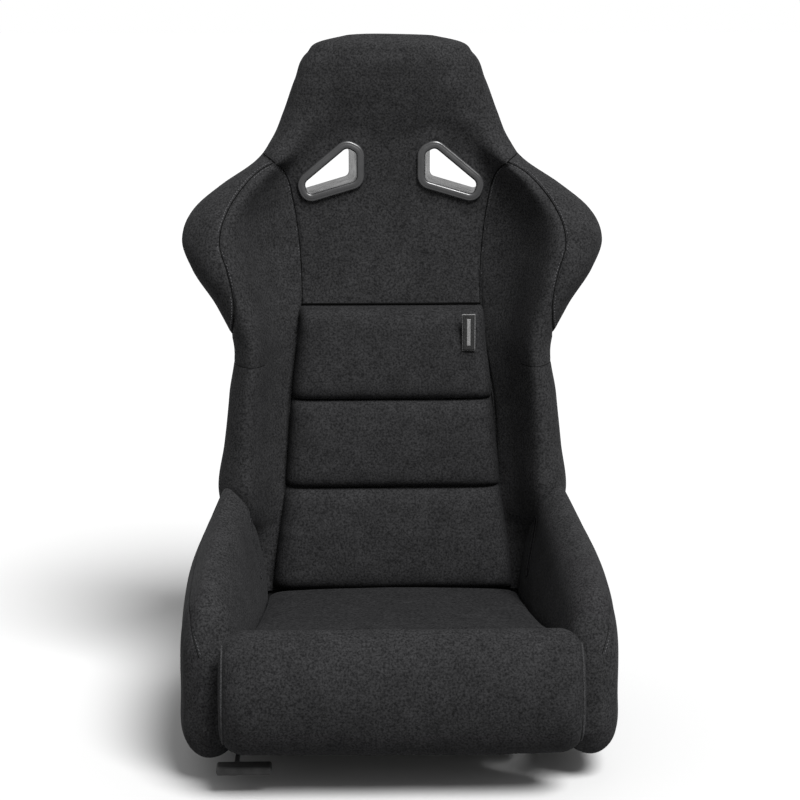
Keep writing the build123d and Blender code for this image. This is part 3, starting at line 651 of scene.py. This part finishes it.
hip = hip_grid()
HIP_RINGS, HIP_COLUMNS = hip.shape[:2]
hip_normals = -grid_normals(hip, True)
outward = np.sign(np.sum(hip_normals[60, :, 0] * (hip[60, :, 0] - hip[60, :, 0].mean())))
hip_normals *= outward
hip_points = hip.reshape(-1, 3)
edge_col = sum(HIP_COUNTS[:5]) + 4
gap = np.abs(np.arange(HIP_COLUMNS) - edge_col)
edge_distance = np.tile(gap[None, :] * 3.0, (HIP_RINGS, 1)).ravel()
ahead = np.clip((hip_points[:, 1] + 236) / 20, 0, 1)
hip = sink(hip, hip_normals, edge_distance, 1.5, 2.6, ahead)
wave = value_noise(hip_points, 0.012, 4)
hip = hip + hip_normals * (wave.reshape(HIP_RINGS, HIP_COLUMNS) * 1.4)[..., None]
# room under the inner edge for the lever when it is pulled up, which is 39.8 mm high at its pin
room = 39.8 - LIFTED_SLOPE * (hip[..., 1] - LEVER_PIN_Y) - 2.5 * np.clip(hip[..., 0] - 210, 0, None)
hip[..., 2] = np.where(hip[..., 1] < LEVER_PIN_Y, np.maximum(hip[..., 2], room), hip[..., 2])


def belt_outline(grow):
    """The lap-belt slot's outline in (y, z), a long hole with round ends."""
    r = BELT_WIDE / 2 + grow
    h = BELT_TALL / 2 - BELT_WIDE / 2
    up = np.array(BELT_UP)
    side = np.array([BELT_UP[1], -BELT_UP[0]])
    pts = []
    for k in range(40):
        a = 2 * math.pi * k / 40
        c = up * (h if math.sin(a) >= 0 else -h)
        pts.append(np.array([BELT_Y, BELT_Z]) + c + r * (math.cos(a) * side + math.sin(a) * up))
    return np.array(pts)


# the lips of the belt slot are drawn in, and the faces inside it are left out
hip_points = hip.reshape(-1, 3)
lip = belt_outline(-2.0)
across_x = np.abs(hip_normals[..., 0].ravel()) > 0.5
d_lip = line_distance(hip_points[:, 1:], np.vstack([lip, lip[:1]]))
d_lip[inside(hip_points[:, 1:], lip)] = 0
hip = sink(hip, hip_normals, d_lip, 2.2, 7.0, across_x)
hip_points = hip.reshape(-1, 3)
hip_centre = 0.25 * (hip[:-1] + np.roll(hip[:-1], -1, axis=1) + hip[1:] + np.roll(hip[1:], -1, axis=1))
hip_keep = ~inside(hip_centre.reshape(-1, 3)[:, 1:], lip).reshape(HIP_RINGS - 1, HIP_COLUMNS)
hip_tree = BVHTree.FromPolygons([Vector(v) for v in hip_points],
                                [tuple(map(int, f)) for f in grid_faces(HIP_RINGS, HIP_COLUMNS, True)])


def ring_tube(path, radius, sides=8):
    """A round cord along a closed path, as a closed mesh's points and faces."""
    tangent = np.roll(path, -1, axis=0) - np.roll(path, 1, axis=0)
    tangent /= np.linalg.norm(tangent, axis=1)[:, None]
    across = np.cross(tangent, [1.0, 0.0, 0.0])
    across /= np.linalg.norm(across, axis=1)[:, None]
    up = np.cross(across, tangent)
    angle = np.linspace(0, 2 * math.pi, sides, endpoint=False)
    rings = np.array([path + radius * (math.cos(a) * across + math.sin(a) * up) for a in angle])
    cols = len(path)
    faces = [(r * cols + c, r * cols + (c + 1) % cols, ((r + 1) % sides) * cols + (c + 1) % cols,
              ((r + 1) % sides) * cols + c) for r in range(sides) for c in range(cols)]
    return rings.reshape(-1, 3), faces


def belt_tunnel(side):
    """The lined wall of the belt slot, from the inner face of the bolster to the outer one."""
    o = belt_outline(-1.6)
    inner = [hip_tree.ray_cast(Vector((100, y, z)), Vector((1, 0, 0)))[0].x for y, z in o]
    outer = [hip_tree.ray_cast(Vector((350, y, z)), Vector((-1, 0, 0)))[0].x for y, z in o]
    rings = []
    for f in np.linspace(0, 1, 14):
        x = np.array(inner) * (1 - f) + np.array(outer) * f
        rings.append(np.column_stack([x * side, o]))
    return np.array(rings)


for side, word in ((1, "left"), (-1, "right")):
    mirror = np.array([side, 1, 1])
    grid = hip * mirror
    faces = grid_faces(HIP_RINGS, HIP_COLUMNS, True, hip_keep, flip=(side < 0) != (outward > 0))
    piece = from_faces(f"hip_cover_{word}_sewn", grid.reshape(-1, 3), faces, CLOTH)
    on_seat(piece, "cover_fabric", f"hip_cover_{word}", f"hip_foam_{word}", fill=0.95)
    t = belt_tunnel(side)
    tunnel = make_mesh(f"belt_slot_{word}_sewn", t.reshape(-1, 3), grid_faces(*t.shape[:2], True), WEB)
    on_seat(tunnel, "webbing", f"belt_slot_lining_{word}")
    for ring, face in ((t[0], "inner"), (t[-1], "outer")):
        smooth = (ring + np.roll(ring, 1, axis=0) + np.roll(ring, -1, axis=0)) / 3
        binding = make_mesh(f"belt_slot_binding_{face}_{word}", *ring_tube(smooth, 1.7), WEB)
        on_seat(binding, "webbing")
    line = [(grid[r, edge_col], hip_normals[r, edge_col] * mirror) for r in range(8, HIP_RINGS - 10)]
    # a near-black cord paints the shadow in the groove of the hip's edge seam
    seam_shadow_cord(f"hip_seam_shadow_{word}", line, radius=0.6)
    stitch_row(f"hip_stitches_{word}", line, sides=(-1,), offset=3.2)


# ---------------------------------------------------------------- lower back, between the hips
def rounded_slab(outline, half, cols=90, edge=9.0):
    """A (y, z) outline run along X with its ends rounded off."""
    o = np.asarray(outline, float)
    x = np.concatenate([-half + edge * (1 - np.cos(np.linspace(0, math.pi / 2, 9)))[:-1],
                        np.linspace(-half + edge, half - edge, cols),
                        half - edge * (1 - np.sin(np.linspace(0, math.pi / 2, 9)))[1:]])
    mid = (o.max(axis=0) + o.min(axis=0)) / 2
    span = (o.max(axis=0) - o.min(axis=0)) / 2
    rings = []
    for v in x:
        d = half - abs(v)
        m = edge - math.sqrt(max(edge**2 - (edge - min(d, edge)) ** 2, 0)) if d < edge else 0.0
        s = (span - m) / span
        r = mid + (o - mid) * s
        rings.append(np.column_stack([np.full(len(r), v), r]))
    return np.array(rings)


def capped(name, rings, material, flip=False):
    """A closed mesh from rings, with a fan of triangles over each end."""
    rows, cols = rings.shape[:2]
    verts = np.vstack([rings.reshape(-1, 3), rings[0].mean(axis=0), rings[-1].mean(axis=0)])
    faces = grid_faces(rows, cols, True, flip=flip)
    n = rows * cols
    for c in range(cols):
        d = (c + 1) % cols
        a = (d, c, n) if not flip else (c, d, n)
        b = ((rows - 1) * cols + c, (rows - 1) * cols + d, n + 1)
        faces += [a, b if not flip else b[::-1]]
    return make_mesh(name, verts, faces, material)


low = [(back_front_y(z), z) for z in np.linspace(122, 298, 30)]
high = [(228.0 + (z - 120) * 0.065, z) for z in np.linspace(298, 122, 30)]
loop = rounded(np.array([low[0], low[-1], high[0], high[-1]]), 12.0)
lower = rounded_slab(loop, 179.0, edge=6.0)
piece = capped("lower_back_cover_sewn", lower, CLOTH, flip=True)
on_seat(piece, "cover_fabric", "lower_back_cover", "lower_back_foam", fill=0.95)


# ---------------------------------------------------------------- cushions
# heights of the ends and seams of the three channels, and the half width (z, x)
LUMBAR_SEAMS = (156.0, 297.0, 416.0, 540.0)
LUMBAR_HALF = np.array([(160, 167.5), (166, 166.5), (297, 150.5), (416, 140), (478, 133), (540, 128)], float)


LUMBAR_GAP = 4.0                # between the back and the cushion's flat rear


def lumbar_grid():
    """The three padded channels of the lumbar cushion, as one closed skin."""
    cols, per = 130, 62
    s = np.linspace(-1, 1, cols)
    s = np.sign(s) * (1 - (1 - np.abs(s)) ** 1.25)
    front, rear = [], []
    for (z0, z1) in zip(LUMBAR_SEAMS[:-1], LUMBAR_SEAMS[1:]):
        tau = np.sin(np.linspace(-math.pi / 2, math.pi / 2, per))
        tau = 0.35 * tau + 0.65 * np.linspace(-1, 1, per)
        for t in tau:
            z = (z0 + z1) / 2 + t * (z1 - z0) / 2
            half = np.interp(z, LUMBAR_HALF[:, 0], LUMBAR_HALF[:, 1])
            half -= 2.8 * abs(t) ** 14
            shape = (1 - abs(t) ** 7) ** 0.45
            side = np.clip(1 - np.abs(s) ** 14, 0, 1) ** 0.48
            crown = 3.0 * (1 - t * t) * (1 - s * s)
            open_end = (z0 < 200 and t < 0) or (z1 > 500 and t > 0)
            thick = (4.0 + 31.0 * shape if open_end else 15.0 + 20.0 * shape) + crown
            rear_y = back_front_y(z) - LUMBAR_GAP
            front.append(np.column_stack([s * half, rear_y - thick * side, np.full(cols, z)]))
            rear.append(np.column_stack([s * half, np.full(cols, rear_y), np.full(cols, z)]))
    return np.array(front), np.array(rear)


front, rear = lumbar_grid()
outwards = -grid_normals(front, False)
outwards *= np.sign(-outwards[30, 60, 1])
broad = value_noise(front.reshape(-1, 3), 0.014, 9).reshape(front.shape[:2])
fine = value_noise(front.reshape(-1, 3) * np.array([0.5, 1, 1.6]), 0.045, 3).reshape(front.shape[:2])
front = front + outwards * (broad * 1.2 + fine * 0.35)[..., None]
lumbar = closed_sheet("lumbar_cushion_sewn", front, rear, CUSHION)
on_seat(lumbar, "cushion_fabric", "lumbar_cushion", fill=0.85)
# a near-black cord painted as the shadow in the crease where the cushion's top edge meets the back
top_edge = LUMBAR_SEAMS[-1] + 1.8
top_half = np.interp(top_edge, LUMBAR_HALF[:, 0], LUMBAR_HALF[:, 1]) - 2.5
seam_shadow_cord("lumbar_top_shadow", on_front([(x, top_edge) for x in np.linspace(-top_half, top_half, 80)]),
          radius=1.5, sunk=-0.2)


def seat_pad():
    """The crowned top and the flat underside of the seat cushion, behind the roll."""
    y = np.linspace(-250, 97, 120)
    s = np.linspace(-1, 1, 120)
    s = np.sign(s) * (1 - (1 - np.abs(s)) ** 1.3)
    inner = hermite(HIP_ROWS, np.clip(y, -240, 228))
    top, under = [], []
    for v, row in zip(y, inner):
        half = min(173.0 + max(0.0, (row[0] - 177.0) * 0.85), 192.0) - 0.8
        edge = np.clip(1 - np.abs(s) ** 16, 0, 1) ** 0.5
        rearing = math.sqrt(max(0.0, 1 - max(0.0, (v - 85) / 12.5) ** 2)) if v > 85 else 1.0
        crown = 4.0 * (1 - s**2)
        z = seat_z(v) - 12 + (12 + crown) * edge * rearing
        top.append(np.column_stack([s * half, np.full(len(s), v), z]))
        under.append(np.column_stack([s * half, np.full(len(s), v), np.full(len(s), seat_z(v) - 44.5)]))
    return np.array(top), np.array(under)


top, under = seat_pad()
top[..., 2] += value_noise(top.reshape(-1, 3), 0.013, 12).reshape(top.shape[:2]) * 1.6
# the pad's cloth is darker to paint the shade that falls on the seat between the bolsters
pad = closed_sheet("seat_pad_sewn", top, under, SEAT_CLOTH_SHADED)
on_seat(pad, "cushion_fabric", "seat_cushion", fill=0.85)


def thigh_roll():
    """Rings round the cushion's front roll, rounded and piped at both ends."""
    profile = [(-243, 66), (-260, 59), (-285, 64), (-303, 83), (-313, 112), (-314.5, 146), (-307, 176),
               (-284, 205), (-252, 211), (-243, 190), (-241, 130)]
    o = closed_spline(np.array(profile, float)[::-1], [12] * len(profile))
    mid, span = np.array([-279.0, 135.0]), np.array([36.5, 76.0])
    radius, sag_depth = 32.0, 1.0
    bend = np.linspace(0, math.pi / 2, 26)
    d_end = radius * (1 - np.cos(bend))
    xs = np.concatenate([-ROLL_HALF + d_end, np.linspace(-ROLL_HALF + radius, ROLL_HALF - radius, 120)[1:-1],
                         (ROLL_HALF - d_end)[::-1]])
    rings = []
    for v in xs:
        d = ROLL_HALF - abs(v)
        m = radius - math.sqrt(max(radius**2 - (radius - min(d, radius)) ** 2, 0)) if d < radius else 0.0
        m += 1.8 * math.exp(-((d - 5.0) / 2.0) ** 2) - 0.6 * math.exp(-((d - 1.5) / 1.5) ** 2)
        scale = (span - m) / span
        r = mid + (o - mid) * scale
        sag = sag_depth * (1 - (v / ROLL_HALF) ** 2)
        r[:, 1] -= sag * np.clip((110 - r[:, 1]) / 50, 0, 1)
        rings.append(np.column_stack([np.full(len(r), v), r]))
    return np.array(rings)


roll = thigh_roll()
outwards = grid_normals(roll, True)
outwards *= np.sign(np.sum(outwards[60] * (roll[60] - roll[60].mean(axis=0))))
broad = value_noise(roll.reshape(-1, 3), 0.011, 21).reshape(roll.shape[:2])
roll = roll + outwards * (broad * 1.6)[..., None]
# the piping cords are in a paler cloth, a painted highlight along the roll's piped ends
for piping_x, word in ((218.0, "left"), (-218.0, "right")):
    end = np.argmin(np.abs(roll[:, 0, 0] - piping_x))
    piping = make_mesh(f"roll_piping_{word}", *ring_tube(roll[end] + outwards[end] * 0.6, 1.6), PIPING_HIGHLIGHT)
    on_seat(piping, "cushion_fabric")
piece = capped("thigh_roll_sewn", roll, CUSHION)
on_seat(piece, "cushion_fabric", fill=0.95)

# the rubber sleeve of the release lever's grip
sleeve = [(-265.5, 29.5), (-242.5, 29.5), (-242.5, 40.5), (-265.5, 40.5)]
rings = rounded_slab(rounded(sleeve, 3.5), 34.0, edge=3.0, cols=12)
piece = capped("lever_grip_sleeve", rings + [-194.0, 0, 0], RUBBER)
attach(piece, "release_lever")
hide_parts("lever_grip")

# the pad under the cushion
outline = np.array([(-236, seat_z(-236) - 77.5), (99, seat_z(99) - 77.5), (99, seat_z(99) - 49),
                    (-236, seat_z(-236) - 49)])
piece = capped("base_pad_sewn", rounded_slab(rounded(outline, 8.0), 171.0, edge=8.0), SCRIM)
on_seat(piece, "foam", "base_foam", fill=0.9)


# a plain woven tag, dark with a pale border
tag_y = back_front_y(482) - 39.0
for inset, material, name, lift in ((0.0, EDGING, "side_tag_border", 0.0), (0.7, TAPE, "side_tag_face", 0.35),
                                    (6.6, EDGING, "side_tag_stripe", 0.6)):
    x0, x1, z0, z1 = 96.0 + inset, 114.0 - inset, 484.0 + inset, 535.0 - inset
    front = np.array([[(x, tag_y - 2.2 - lift - 1.2 * math.sin((x - 96) / 5.5), z)
                       for x in np.linspace(x0, x1, 10)] for z in np.linspace(z0, z1, 24)])
    rear = front + [0, 1.1 - lift * 0.5, 0]
    piece = closed_sheet(name, front, rear, material)
    on_seat(piece, "tag")
    if not inset:
        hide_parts("side_tag")


# ---------------------------------------------------------------- harness bezels
def bezel(side, front):
    """A moulded ring: a rolled flange, a step and a tunnel wall."""
    if front:
        plane, sign, end = BEZEL_FRONT, 1.0, 252.0
    else:
        plane, sign, end = BEZEL_REAR, -1.0, 252.3
    # inwards from the outline, and along y from the flange's plane
    steps = [(0.0, 4.0), (-0.7, 1.2), (-0.2, -0.6), (0.9, -1.8), (2.4, -2.4), (3.2, -2.1), (3.8, -2.5),
             (8.2, -2.6), (9.6, -2.0), (10.4, -0.6), (10.8, 1.2), (11.0, 4.0)]
    rings = []
    for depth, y in steps:
        o = shrink(slot_outline(1, plane), depth)
        rings.append(np.column_stack([o[:, 0], np.full(len(o), plane + sign * y), o[:, 1]]))
    mouth = steps[-1][0]
    for y in np.linspace(plane + sign * 6.0, end, 10):
        o = shrink(slot_outline(1, y), mouth)
        rings.append(np.column_stack([o[:, 0], np.full(len(o), y), o[:, 1]]))
    grid = np.array(rings) * np.array([side, 1, 1])
    name = f"bezel_{'front' if front else 'rear'}_{'left' if side > 0 else 'right'}"
    faces = grid_faces(*grid.shape[:2], True, flip=(side > 0) == front)
    return make_mesh(name, grid.reshape(-1, 3), faces, PLASTIC)


for side, word in ((1, "left"), (-1, "right")):
    for front, which in ((True, "front"), (False, "rear")):
        piece = bezel(side, front)
        on_seat(piece, "black_plastic", f"harness_bezel_{which}_{word}")


# ---------------------------------------------------------------- CAD pieces that stay
def dress(material, *nodes):
    """Gives CAD pieces a material."""
    for node in nodes:
        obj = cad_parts[node]
        obj.data.materials.clear()
        obj.data.materials.append(material)


dress(COATED, "main_hoop", "front_cross_tube", "rear_cross_tube", "lumbar_cross_tube", "harness_cross_tube",
      "shoulder_bow_left", "shoulder_bow_right", "hip_bow_left", "hip_bow_right", "crossbar_front",
      "crossbar_rear", "release_lever", "latch_pawl")
dress(SPRING, "zigzag_springs", "spring_clips", "lever_return_spring")
dress(STEEL, "rail_bolts", "rail_nuts", "lever_pin", "lever_bracket")
dress(RAIL, "lower_rail_left", "lower_rail_right", "upper_rail_left", "upper_rail_right", "rail_end_stops",
      "latch_rack")
dress(NYLON, "glide_pads")
dress(WEB, "back_straps")
dress(TAPE, "hook_and_loop_strips")

# ---------------------------------------------------------------- floor, light and camera
floor_mesh = bpy.data.meshes.new("floor")
floor_mesh.from_pydata([(-30, -30, 0), (30, -30, 0), (30, 30, 0), (-30, 30, 0)], [], [(0, 1, 2, 3)])
floor = bpy.data.objects.new("floor", floor_mesh)
bpy.context.scene.collection.objects.link(floor)
floor_look, _, _, shader = new_material("floor_white")
shader.inputs["Base Color"].default_value = (0.285, 0.285, 0.285, 1)
shader.inputs["Roughness"].default_value = 1.0
shader.inputs["Specular IOR Level"].default_value = 0.0
floor_mesh.materials.append(floor_look)

world = bpy.data.worlds.new("studio")
bpy.context.scene.world = world
world.use_nodes = True
world.node_tree.nodes["Background"].inputs["Color"].default_value = (1, 1, 1, 1)
world.node_tree.nodes["Background"].inputs["Strength"].default_value = 1.0


def direction(turn, lift):
    """The direction out from the seat, in degrees round from its front and up from level."""
    turn, lift = math.radians(turn), math.radians(lift)
    return Vector((math.sin(turn) * math.cos(lift), -math.cos(turn) * math.cos(lift), math.sin(lift)))


def aim(obj, away):
    """Turns a light or a camera to look back along a direction."""
    obj.rotation_mode = "QUATERNION"
    obj.rotation_quaternion = (-away).to_track_quat("-Z", "Y")


sun = bpy.data.lights.new("key", "SUN")
sun.energy, sun.angle = 10.5, math.radians(26)
key = bpy.data.objects.new("key", sun)
aim(key, direction(32, 54))
bpy.context.scene.collection.objects.link(key)

camera = bpy.data.cameras.new("camera")
cam = bpy.data.objects.new("camera", camera)
bpy.context.scene.collection.objects.link(cam)
away = direction(-1.8, 11.5)
cam.location = Vector((0.006, 0, 0.445)) + away * 2.8
aim(cam, away)
camera.sensor_width = 36.0
camera.lens = 96.0
bpy.context.scene.camera = cam
bpy.context.scene.view_settings.view_transform = "Standard"
